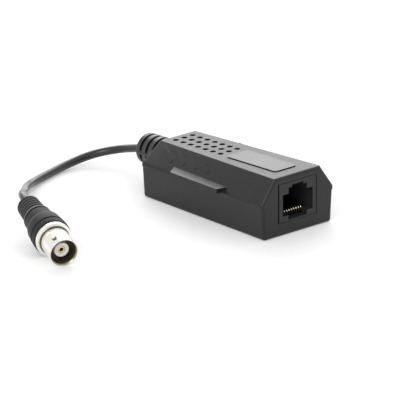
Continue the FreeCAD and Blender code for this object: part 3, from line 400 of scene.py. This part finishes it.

# Boot: moulded black grip on the coaxial connector. Its tail is ribbed like the gland,
# and its body swells to a ring at the plated shell. Painted highlights make its collar,
# its shoulder's rear edge and its tail's ribs lighter.
record_mounts = {mount["name"]: mount for mount in frame["record"]["mounts"]}
mouth = Vector(record_mounts["connector_barrel"]["pos_m"])
connector_axis = Vector(record_mounts["connector_barrel"]["axis"]).normalized()
connector_side = Vector((0, 0, 1)).cross(connector_axis).normalized()
connector_top = connector_axis.cross(connector_side)
connector_turn = np.array([connector_axis, connector_side, connector_top])
MOUTH_AT = 34.0
TAIL_RIBS = 5
TAIL_PITCH = 1.5
TAIL_LENGTH = 8.6
TAIL_RADIUS = 3.8
TAIL_FLARE = 0.4
RIB_ROUNDING = 0.25
SLIT_FROM = 0.9
SLIT_WIDTH = 0.6
SLIT_DEPTH = 0.55
SLIT_SLOPE = 0.05
SLIT_ROUNDING = 0.12
GRIP_LINE = [
    (8.5, 3.7, 0.1), (8.7, 4.72, 0.35), (9.9, 4.75, 0.4), (10.0, 4.1, 0.1), (10.4, 4.1, 0.1),
    (10.5, 4.8, 0.2), (14.5, 5.2, 0.2), (14.8, 4.95, 0.15), (15.3, 5.9, 0.5), (16.4, 5.85, 0.5),
    (18.2, 6.12, 1.5), (20.25, 6.3, 0.35), (20.35, 5.8, 0.12), (20.85, 5.8, 0.12),
    (20.9, 6.35, 0.35), (23.5, 6.3, 0.35), (23.5, 3.6),
]


def on_connector(points):
    """Places points drawn along X from the connector's tail, in millimetres.

    Each is taken from the mouth, turned on to the axis, side and top, and moved there.
    """
    return (points - [MOUTH_AT, 0, 0]) * MM @ connector_turn + np.array(mouth)


def connector_piece(name, corners, sides=96):
    """A closed outline of lengths and radii, turned round the connector's axis."""
    line = rounded_line(corners, steps=5)
    return grid_piece(name, on_connector(turned_surface(line[:, 0], line[:, 1], sides)))


boot_line = [(SLIT_FROM, CABLE_HOLE), (0.0, 2.3, 0.3), (0.0, TAIL_RADIUS, 0.6)]
for index in range(TAIL_RIBS):
    slit = SLIT_FROM + index * TAIL_PITCH
    rib = TAIL_RADIUS + TAIL_FLARE * slit / TAIL_LENGTH
    boot_line += [
        (slit, rib, RIB_ROUNDING),
        (slit + SLIT_SLOPE, rib - SLIT_DEPTH, SLIT_ROUNDING),
        (slit + SLIT_WIDTH - SLIT_SLOPE, rib - SLIT_DEPTH, SLIT_ROUNDING),
        (slit + SLIT_WIDTH, rib, RIB_ROUNDING),
    ]
boot_line += [*GRIP_LINE, (SLIT_FROM, 3.0), (SLIT_FROM, CABLE_HOLE)]
boot = connector_piece("connector_grip", boot_line)

# Edges of the painted highlight bands, in millimetres along the axis from the mouth.
RIBS_FADE = (-25.6, -25.4)
COLLAR_FADE = (-24.9, -24.3)
SHOULDER_RISE = (-19.1, -18.8)
SHOULDER_FADE = (-18.6, -17.2)
# How strong the painted highlight is on the shoulder and on the tail's ribs.
SHOULDER_HIGHLIGHT = 0.6
RIB_HIGHLIGHT = 0.17


def step_between(value, low, high):
    """Falls from 1 to 0 as a distance goes from low to high, in millimetres."""
    return value.finish.node("ShaderNodeMapRange", {
        "Value": value, "From Min": high * MM, "From Max": low * MM, "To Min": 0.0, "To Max": 1.0,
    })


def from_mouth(finish):
    """The place less the middle of the barrel's mouth."""
    offset = {0: finish.place(), 1: tuple(mouth)}
    return finish.node("ShaderNodeVectorMath", offset, operation="SUBTRACT")


def along_axis(finish):
    """How far a place lies along the axis from the mouth: its dot product with the axis."""
    pair = {0: from_mouth(finish), 1: tuple(connector_axis)}
    return finish.node("ShaderNodeVectorMath", pair, output="Value", operation="DOT_PRODUCT")


def painted_highlight_bands(finish):
    """1 on the collar, less on the shoulder's rear edge and the tail's ribs, and 0 elsewhere.

    Each band is the step down at its front end less the one at its rear end. The bands are
    painted highlights.
    """
    along = along_axis(finish)
    ribs = step_between(along, *RIBS_FADE)
    collar = step_between(along, *COLLAR_FADE) - ribs
    shoulder = step_between(along, *SHOULDER_FADE) - step_between(along, *SHOULDER_RISE)
    return collar + shoulder * SHOULDER_HIGHLIGHT + ribs * RIB_HIGHLIGHT


# The boot's rubber, with painted highlight bands in a paler grey.
boot_rubber = moulded(
    "boot_rubber", (0.012, 0.012, 0.013), rough=0.6, grain=0.3 * MM, depth=0.01 * MM,
    painted_light=painted_highlight_bands, painted_light_color=(0.19, 0.19, 0.195), Specular_IOR_Level=0.28,
)
show(boot, boot_rubber)
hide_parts("connector_boot")

# Plated shell: nickel-plated turned brass. A flange stands against the boot, and the
# barrel carries two bayonet lugs and is bored for the plug.
SHELL_REAR = 16.6
FLANGE_AT = 23.5
FLANGE_RADIUS = 6.1
BARREL_RADIUS = 4.82
BORE_RADIUS = 4.1
BORE_FLOOR = 25.8
SEAT_AT = 17.7
SEAT_RADIUS = 2.6
shell = connector_piece("connector_barrel", [
    (SHELL_REAR, CABLE_HOLE), (SHELL_REAR, 3.5), (FLANGE_AT, 3.5), (FLANGE_AT + 0.02, 6.05, 0.2),
    (25.1, FLANGE_RADIUS, 0.35), (25.12, 5.15, 0.1), (24.75, 4.75, 0.08), (24.8, 4.4, 0.1),
    (25.5, 4.4, 0.1), (25.75, BARREL_RADIUS, 0.1), (MOUTH_AT, BARREL_RADIUS, 0.12),
    (MOUTH_AT, 4.55, 0.05), (33.55, BORE_RADIUS, 0.15), (BORE_FLOOR, BORE_RADIUS),
    (BORE_FLOOR, SEAT_RADIUS), (SEAT_AT, SEAT_RADIUS), (SEAT_AT, CABLE_HOLE),
    (SHELL_REAR, CABLE_HOLE),
])
SMUDGE_SIZE = 2.5 * MM
SMUDGE_SHADE = 0.9
GLOSS_BY_SMUDGE = 0.6
MARK_SIZE = 0.12 * MM
MARK_DEPTH = 0.002 * MM
DULLING = 0.12


def plated(name, color, rough, scratch=0.05, painted_shade=None, painted_shade_color=None):
    """Plated metal with faint turning marks and smudges of gloss.

    Smudges shade the colour, and with the marks they take the roughness up by a scratch.
    Where shade is painted on, from 0 to 1, it shows the painted shade colour and is rougher.
    """
    finish = Finish(name)
    smudge = finish.noise(SMUDGE_SIZE, detail=3.0)
    marks = finish.noise(MARK_SIZE, detail=2.0)
    shade = tuple(channel * SMUDGE_SHADE for channel in color)
    bright = finish.between(smudge, shade, color)
    wear = smudge * GLOSS_BY_SMUDGE + marks * (1 - GLOSS_BY_SMUDGE)
    gloss = finish.between(wear, rough, rough + scratch)
    if painted_shade:
        # The share of painted shade, from 0 to 1.
        painted_dark = painted_shade(finish)
        bright = finish.between(painted_dark, bright, painted_shade_color)
        gloss = gloss + painted_dark * DULLING
    return finish.surface(
        Base_Color=bright, Roughness=gloss, Normal=finish.bump(marks, MARK_DEPTH), Metallic=1.0,
    )


# Where painted shade darkens the plating, in millimetres from the axis and along it from the
# mouth.
BORE_RIM = (4.5, 4.6)
GROOVE_RIM = (4.7, 4.8)
GROOVE_FRONT = (-8.1, -7.9)


def off_axis(finish):
    """How far a place lies from the axis: the length of its cross product with the axis."""
    pair = {0: from_mouth(finish), 1: tuple(connector_axis)}
    across = finish.node("ShaderNodeVectorMath", pair, operation="CROSS_PRODUCT")
    return finish.node("ShaderNodeVectorMath", {0: across}, output="Value", operation="LENGTH")


def recess_painted_shade(finish):
    """1 in the bore and the flange's groove, where shade is painted, else 0: the larger of two
    steps.
    """
    distance = off_axis(finish)
    in_groove = step_between(distance, *GROOVE_RIM) * step_between(
        along_axis(finish), *GROOVE_FRONT,
    )
    either = {0: step_between(distance, *BORE_RIM), 1: in_groove}
    return finish.node("ShaderNodeMath", either, operation="MAXIMUM")


NICKEL_COLOR = (0.88, 0.86, 0.82)
NICKEL_ROUGH = 0.14
nickel = plated("nickel_plating", NICKEL_COLOR, NICKEL_ROUGH)
# The bore and the groove at the flange are painted dark brown, a painted shade.
barrel_plating = plated(
    "barrel_plating", NICKEL_COLOR, NICKEL_ROUGH,
    painted_shade=recess_painted_shade, painted_shade_color=(0.30, 0.26, 0.21),
)
show(shell, barrel_plating)
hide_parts("connector_shell")

# Bayonet lugs: two short plated studs on opposite sides of the barrel, pressed in behind
# its mouth. Their ends are rounded, and their sides are darkened with painted shade.
LUG_AT = MOUTH_AT - 3.2
LUG_TURN = math.radians(120)
LUG_RADIUS = 0.9
LUG_ROOT = 4.3
LUG_END = 5.52
LUG_ROUNDING = 0.25
LUG_SIDES = 32
LUG_SIDE_SHADE = (5.3, 5.42)
lug_line = rounded_line([
    (LUG_ROOT, 0.0), (LUG_ROOT, LUG_RADIUS), (LUG_END, LUG_RADIUS, LUG_ROUNDING), (LUG_END, 0.0),
])
lug_skin = turned_surface(lug_line[:, 0], lug_line[:, 1], LUG_SIDES)
lug_up = np.array([0, math.cos(LUG_TURN), math.sin(LUG_TURN)])
lug_across = np.array([0, -math.sin(LUG_TURN), math.cos(LUG_TURN)])


def on_lug_side(finish):
    """1 on a lug's side, which has painted shade, and 0 on its end, by the distance to the axis.
    """
    return step_between(off_axis(finish), *LUG_SIDE_SHADE)


# Painted shade on the lugs' sides, darker than their plated ends.
lug_plating = plated(
    "lug_plating", NICKEL_COLOR, rough=0.2, painted_shade=on_lug_side, painted_shade_color=(0.16, 0.15, 0.14),
)

# A lug's skin is turned along its own axis, then stood up from the barrel on either side.
for name, side in (("bayonet_lug_upper", 1), ("bayonet_lug_lower", -1)):
    points = (
        lug_skin[..., :1] * side * lug_up + lug_skin[..., 1:2] * side * lug_across
        + (lug_skin[..., 2:] + LUG_AT) * np.array([1, 0, 0])
    )
    lug = grid_piece(name, on_connector(points))
    show(lug, lug_plating)

# Insulator and centre contact: a white moulded insulator is held in the shell's seat and
# stands free in the barrel. The gold-plated socket for the plug's pin ends just behind
# its face.
INSERT_REAR = SEAT_AT + 0.1
INSULATOR_RADIUS = 2.5
INSULATOR_FACE = 31.8
SOCKET_RADIUS = 1.1
SOCKET_FACE = 31.6
SOCKET_FLOOR = 26.6
insulator = connector_piece("insulator_face", [
    (INSERT_REAR, 1.2), (INSERT_REAR, INSULATOR_RADIUS), (INSULATOR_FACE, INSULATOR_RADIUS, 0.25),
    (INSULATOR_FACE, 1.25, 0.1), (INSERT_REAR, 1.2),
])
white_insulator = moulded(
    "white_insulator", (0.84, 0.83, 0.80), rough=0.38, grain=0.3 * MM, depth=0.004 * MM,
    mottle=0.03,
)
show(insulator, white_insulator)
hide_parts("connector_insulator")
contact = connector_piece("socket_contact", [
    (INSERT_REAR, 0.0), (INSERT_REAR, SOCKET_RADIUS), (SOCKET_FACE, SOCKET_RADIUS, 0.15),
    (SOCKET_FACE, 0.68, 0.12), (SOCKET_FLOOR, 0.66), (SOCKET_FLOOR, 0.0),
], sides=64)
gold = plated("gold_plating", (0.92, 0.68, 0.28), rough=0.2)
show(contact, gold)
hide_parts("centre_contact")

# Housing: two moulded shells of satin black plastic that meet under the belt. The edges
# are slightly rounded, and the faces have a fine sparked grain.
shell_plastic = moulded(
    "shell_plastic", (0.010, 0.010, 0.0115), rough=0.34, grain=0.22 * MM, depth=0.012 * MM,
    edge=0.18 * MM, Specular_IOR_Level=0.36,
)


def repaint(node, material):
    """Coats a CAD node, whose shape stays as it is."""
    coat(frame["nodes"][node], material)


repaint("top_cover", shell_plastic)
repaint("base_shell", shell_plastic)

# Label: a thin blank plate with rounded corners, glued flat on the sloping roof. Its film
# is smoother than the housing.
label_film = moulded(
    "label_film", (0.018, 0.018, 0.02), rough=0.3, grain=0.8 * MM, depth=0.004 * MM,
    edge=0.1 * MM, Specular_IOR_Level=0.5,
)
repaint("label_plate", label_film)

# Network jack: a black moulded block, pegged to the board behind the opening in the
# housing's end, and the carrier that holds its contacts at the rear.
# Where painted light fades out inside the jack's mouth, in millimetres along X.
MOUTH_LIGHT_SPAN = (28.4, 29.4)


def mouth_painted_light(finish):
    """1 inside the mouth, where light is painted on, and 0 on the face, by the place along X."""
    along = finish.node("ShaderNodeSeparateXYZ", {0: finish.place()}, output="X")
    return step_between(along, *MOUTH_LIGHT_SPAN)


# The inside of the mouth is painted lighter than the jack's face, a painted light.
jack_plastic = moulded(
    "jack_plastic", (0.011, 0.011, 0.012), rough=0.42, grain=0.3 * MM, depth=0.008 * MM,
    edge=0.12 * MM, painted_light=mouth_painted_light, painted_light_color=(0.028, 0.028, 0.029), Specular_IOR_Level=0.4,
)
repaint("jack_housing", jack_plastic)
repaint("contact_carrier", jack_plastic)

# Spring wires: eight gold-plated wires. Each comes up through the board, runs forward
# under the mouth, turns over at the front and slopes back as a spring.
WIRE_COUNT = 8
WIRE_WIDTH = 0.42
WIRE_PITCH = 1.02
WIRE_ROWS_APART = 1.4
WIRE_SIDES = 16
WIRE_RUN = 5.47
WIRE_REAR_BEND = 0.4
WIRE_BENDS = [(27.3, WIRE_RUN, 0.45), (27.25, 6.75, 0.4), (26.9, 7.25, 0.4)]
WIRE_TIP = (18.4, 9.47)
wires_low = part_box("jack_contacts")[0]
WIRE_FOOT = wires_low.z / MM
WIRE_REAR = wires_low.x / MM + WIRE_WIDTH / 2
# Edges of the painted shade on the wires, in millimetres along X and up Z.
BRIGHT_FROM = (26.1, 26.7)
BRIGHT_ABOVE = (6.85, 7.1)


def wire_route(rear):
    """A wire's middle line in X and Z, with its corners rounded."""
    corners = [(rear, WIRE_FOOT), (rear, WIRE_RUN, WIRE_REAR_BEND), *WIRE_BENDS, WIRE_TIP]
    return rounded_line(corners, steps=8)


def wire_tube(route, aside):
    """A round section carried along the line and closed at both ends.

    A point is the line's own, plus the radius times the angle's cosine along the line's
    normal in X and Z, and the radius times the sine along Y.
    """
    heading = np.gradient(route, axis=0)
    heading /= np.hypot(*heading.T)[:, None]
    doubled_ends = [0, *range(len(route)), -1]
    route, heading = route[doubled_ends], heading[doubled_ends]
    turn = np.linspace(0, 2 * np.pi, WIRE_SIDES, endpoint=False)
    radius = np.full((len(route), 1), WIRE_WIDTH / 2)
    radius[[0, -1]] = 0
    out = radius * np.cos(turn)
    across = aside + radius * np.sin(turn)
    return np.stack([
        route[:, :1] - heading[:, 1:] * out, across, route[:, 1:] + heading[:, :1] * out,
    ], axis=-1) * MM


def away_from_bend(finish):
    """0 on the bends at the front, and 1 behind and below them, where shade is painted."""
    along = finish.node("ShaderNodeSeparateXYZ", {0: finish.place()}, output="X")
    height = finish.node("ShaderNodeSeparateXYZ", {0: finish.place()}, output="Z")
    either = {0: step_between(along, *BRIGHT_FROM), 1: step_between(height, *BRIGHT_ABOVE)}
    return finish.node("ShaderNodeMath", either, operation="MAXIMUM")


wire_grids = []
for index in range(WIRE_COUNT):
    route = wire_route(WIRE_REAR + index % 2 * WIRE_ROWS_APART)
    wire_grids.append(wire_tube(route, (index - (WIRE_COUNT - 1) / 2) * WIRE_PITCH))
wires = grid_piece("spring_wires", np.array(wire_grids))
# Painted shade darkens the wires behind and below their front bends, which keep the bright gold.
gold_wire = plated(
    "gold_wire", (0.95, 0.88, 0.72), rough=0.2,
    painted_shade=away_from_bend, painted_shade_color=(0.035, 0.03, 0.02),
)
show(wires, gold_wire)
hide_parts("jack_contacts")

# Circuit board: glass-fibre laminate, held between the base's posts and the cover's pins.
# Its copper tracks show through the green lacquer as slightly lighter lines.
TRACK_BANDS = 180.0
TRACK_PATCH = 3 * MM
TRACK_ABOVE = 0.33
TRACK_HEIGHT = 0.02 * MM


def lacquered(name, color, track_color):
    """Lacquer over tracks: where a wavy stripe times a patch of noise is high, it is lighter."""
    finish = Finish(name)
    stripe = finish.node("ShaderNodeTexWave", {
        "Vector": finish.place(), "Scale": TRACK_BANDS, "Distortion": 2.5, "Detail": 1.0,
        "Detail Scale": 2.0,
    }, bands_direction="Y")
    patch = finish.noise(TRACK_PATCH, detail=1.0)
    raised = {0: stripe * patch, 1: TRACK_ABOVE}
    track = finish.node("ShaderNodeMath", raised, operation="GREATER_THAN")
    return finish.surface(
        Base_Color=finish.between(track, color, track_color),
        Roughness=finish.between(patch, 0.24, 0.34),
        Normal=finish.bump(track, TRACK_HEIGHT),
    )


board_lacquer = lacquered("board_lacquer", (0.012, 0.11, 0.045), (0.03, 0.19, 0.08))
repaint("circuit_board", board_lacquer)

# Parts on the board: moulded packages, tinned leads and cans, ferrite and ceramic, all
# soldered to the board. They only show as dark shapes through the vents.
package_plastic = moulded(
    "package_plastic", (0.02, 0.02, 0.021), rough=0.5, grain=0.2 * MM, depth=0.01 * MM,
)
for node in ("transformer_block", "line_chip"):
    repaint(node, package_plastic)
tinned = plated("tinned_metal", (0.78, 0.78, 0.76), rough=0.3)
for node in ("transformer_leads", "chip_leads", "crystal_can", "braid_lead"):
    repaint(node, tinned)
ferrite = moulded(
    "ferrite", (0.06, 0.06, 0.064), rough=0.6, grain=0.25 * MM, depth=0.02 * MM,
)
for node in ("power_inductor", "toroid_core"):
    repaint(node, ferrite)
ceramic = moulded(
    "ceramic", (0.74, 0.70, 0.62), rough=0.45, grain=0.2 * MM, depth=0.006 * MM, mottle=0.05,
)
for node in ("surge_tube", "chip_parts"):
    repaint(node, ceramic)
capacitor_can = plated("capacitor_can", (0.66, 0.67, 0.7), rough=0.26)
repaint("filter_capacitors", capacitor_can)
enamelled_wire = plated("enamelled_wire", (0.62, 0.24, 0.08), rough=0.25)
repaint("toroid_winding", enamelled_wire)

# Cable ends: the cable goes on through the gland and into the boot, where a plated
# ferrule is crimped on it. Inside the housing its insulated core runs to the board.
for node in ("cable_inner_end", "cable_plug_end"):
    repaint(node, cord_jacket)
lead_insulation = moulded(
    "lead_insulation", (0.8, 0.8, 0.78), rough=0.45, grain=0.3 * MM, depth=0.004 * MM,
    mottle=0.04,
)
repaint("core_lead", lead_insulation)
repaint("crimp_ferrule", nickel)

# Case screws: four slotted screws of dark plated steel, driven up from under the base
# into the cover's bosses. Their heads lie sunk in the base.
screw_steel = plated("screw_steel", (0.32, 0.32, 0.33), rough=0.3)
repaint("case_screws", screw_steel)

# Floor: a plain pale sweep, bright enough to join the white background, that keeps the
# part's soft shadow. Its glow is only there for what is seen, and lights nothing.
FLOOR_HALF = 3.0
FLOOR_COLOR = (0.86, 0.86, 0.86, 1.0)
FLOOR_GLOW = 0.24
WHITE = (1.0, 1.0, 1.0, 1.0)
floor_mesh = bpy.data.meshes.new("floor")
floor_mesh.from_pydata([
    (-FLOOR_HALF, -FLOOR_HALF, 0), (FLOOR_HALF, -FLOOR_HALF, 0),
    (FLOOR_HALF, FLOOR_HALF, 0), (-FLOOR_HALF, FLOOR_HALF, 0),
], [], [(0, 1, 2, 3)])
floor = bpy.data.objects.new("floor", floor_mesh)
bpy.context.scene.collection.objects.link(floor)
floor_finish = Finish("floor")
floor_shader = floor_finish.node("ShaderNodeBsdfPrincipled", {
    "Base Color": FLOOR_COLOR, "Roughness": 0.7, "Specular IOR Level": 0.1,
})
floor_glow = floor_finish.node("ShaderNodeEmission", {"Color": WHITE, "Strength": FLOOR_GLOW})
floor_lifted = floor_finish.node("ShaderNodeAddShader", {0: floor_shader, 1: floor_glow})
floor_mix = floor_finish.node("ShaderNodeMixShader", {
    0: floor_finish.seen(), 1: floor_shader, 2: floor_lifted,
})
floor_finish.node("ShaderNodeOutputMaterial", {"Surface": floor_mix})
floor_mesh.materials.append(floor_finish.owner)


# Light: one large softbox above and behind, which the roof mirrors towards the camera, a
# weaker one at the front, and a white surround.
def softbox(name, place, size, power):
    """A rectangular lamp at a place, turned so that it shines on the origin."""
    light = bpy.data.lights.new(name, "AREA")
    light.shape = "RECTANGLE"
    light.size, light.size_y = size
    light.energy = power
    lamp = bpy.data.objects.new(name, light)
    bpy.context.scene.collection.objects.link(lamp)
    lamp.location = place
    lamp.rotation_euler = (-Vector(place)).to_track_quat("-Z", "Y").to_euler()


softbox("softbox_back", place=(-0.9, 0.8, 0.7), size=(1.4, 0.9), power=10.0)
softbox("softbox_front", place=(0.5, -1.2, 0.9), size=(0.8, 0.8), power=7.0)

WORLD_LIGHT = 0.7
world = bpy.data.worlds.new("surround")
bpy.context.scene.world = world
surround = Finish(world)
background = surround.node("ShaderNodeBackground", {
    "Color": WHITE, "Strength": surround.between(surround.seen(), WORLD_LIGHT, 1.0),
})
surround.node("ShaderNodeOutputWorld", {"Surface": background})
bpy.context.scene.view_settings.view_transform = "Standard"
